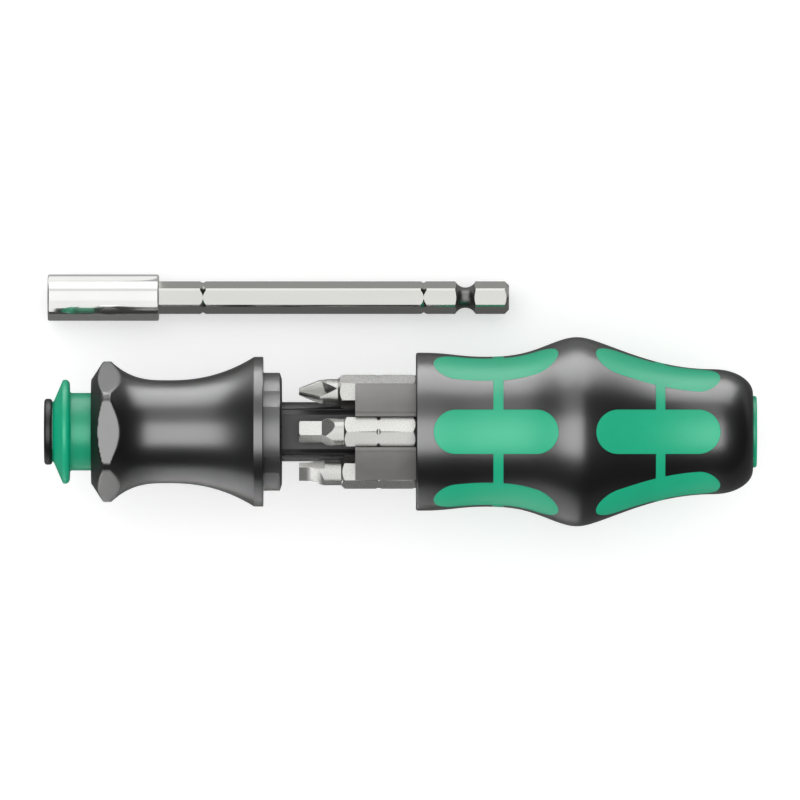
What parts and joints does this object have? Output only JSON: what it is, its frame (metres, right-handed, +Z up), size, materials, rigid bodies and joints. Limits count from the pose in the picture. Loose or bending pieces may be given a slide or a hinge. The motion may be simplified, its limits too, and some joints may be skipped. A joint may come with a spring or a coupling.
{
  "type": "bit holder screwdriver",
  "caption": "Screwdriver handle with green grip pads, a pull-out magazine of hexagonal bits, a spring-lock chuck at the nose and a loose bit-holding blade beside it.",
  "frame": {"origin": "centre of the round blade mouth at the front face of the chuck", "axes": "+X along the tool from its nose to its end button, +Y sideways to the loose blade, +Z up from the surface that the tool lies on"},
  "size_m": [0.1532, 0.0542, 0.0406],
  "materials": {
    "black_skin": "fine moulded grain",
    "green_core": "semi-gloss moulded",
    "black_grip": "fine moulded grain",
    "inner_black": "moulded",
    "rack_grey": "moulded",
    "green_trim": "semi-gloss moulded",
    "black_rubber": "matt",
    "bit_steel": "satin blasted",
    "shaft_steel": "satin drawn",
    "polished_sleeve": "polished",
    "spring_steel": "drawn",
    "ball_steel": "polished",
    "magnet_grey": "sintered"
  },
  "bodies": {
    "handle": {"handle_skin": "black_skin", "handle_core": "green_core", "latch_housing": "inner_black", "latch_clip": "spring_steel", "button_spring": "spring_steel"},
    "button": {"end_button": "green_trim"},
    "magazine": {"grip_shell": "black_grip", "magazine_core": "inner_black", "bit_rack": "rack_grey", "tail_pin": "shaft_steel", "chuck_body": "shaft_steel", "lock_balls": "ball_steel", "nose_ring": "black_rubber", "collar_spring": "spring_steel"},
    "collar": {"lock_collar": "green_trim"},
    "blade": {"blade_shaft": "shaft_steel", "blade_sleeve": "polished_sleeve", "blade_magnet": "magnet_grey"},
    "bit_cross": {"bit_cross": "bit_steel"},
    "bit_square": {"bit_square": "bit_steel"},
    "bit_slotted": {"bit_slotted": "bit_steel"},
    "bit_ribbed_cross": {"bit_ribbed_cross": "bit_steel"},
    "bit_hexagon": {"bit_hexagon": "bit_steel"},
    "bit_six_lobe": {"bit_six_lobe": "bit_steel"}
  },
  "joints": [
    {"name": "magazine_slide", "type": "slide", "parent": "handle", "child": "magazine", "axis": [-1, 0, 0], "range_m": [-0.0327, 0], "deforming": ["latch_clip"]},
    {"name": "button_press", "type": "slide", "parent": "handle", "child": "button", "axis": [-1, 0, 0], "range_m": [0, 0.0012], "stiffness_N_per_m": 400, "deforming": ["button_spring", "latch_clip"]},
    {"name": "collar_slide", "type": "slide", "parent": "magazine", "child": "collar", "axis": [1, 0, 0], "range_m": [0, 0.0032], "stiffness_N_per_m": 600, "deforming": ["collar_spring"]},
    {"name": "cross_pull", "type": "slide", "parent": "magazine", "child": "bit_cross", "axis": [0, 1, 0], "range_m": [0, 0.012]},
    {"name": "square_pull", "type": "slide", "parent": "magazine", "child": "bit_square", "axis": [0, 0, 1], "range_m": [0, 0.012]},
    {"name": "slotted_pull", "type": "slide", "parent": "magazine", "child": "bit_slotted", "axis": [0, -1, 0], "range_m": [0, 0.012]},
    {"name": "ribbed_cross_pull", "type": "slide", "parent": "magazine", "child": "bit_ribbed_cross", "axis": [0, 1, 0], "range_m": [0, 0.012]},
    {"name": "hexagon_pull", "type": "slide", "parent": "magazine", "child": "bit_hexagon", "axis": [0, 0, -1], "range_m": [0, 0.012]},
    {"name": "six_lobe_pull", "type": "slide", "parent": "magazine", "child": "bit_six_lobe", "axis": [0, -1, 0], "range_m": [0, 0.012]},
    {"name": "blade_lift", "type": "slide", "parent": "handle", "child": "blade", "axis": [0, 0, 1], "range_m": [0, 0.045]}
  ]
}
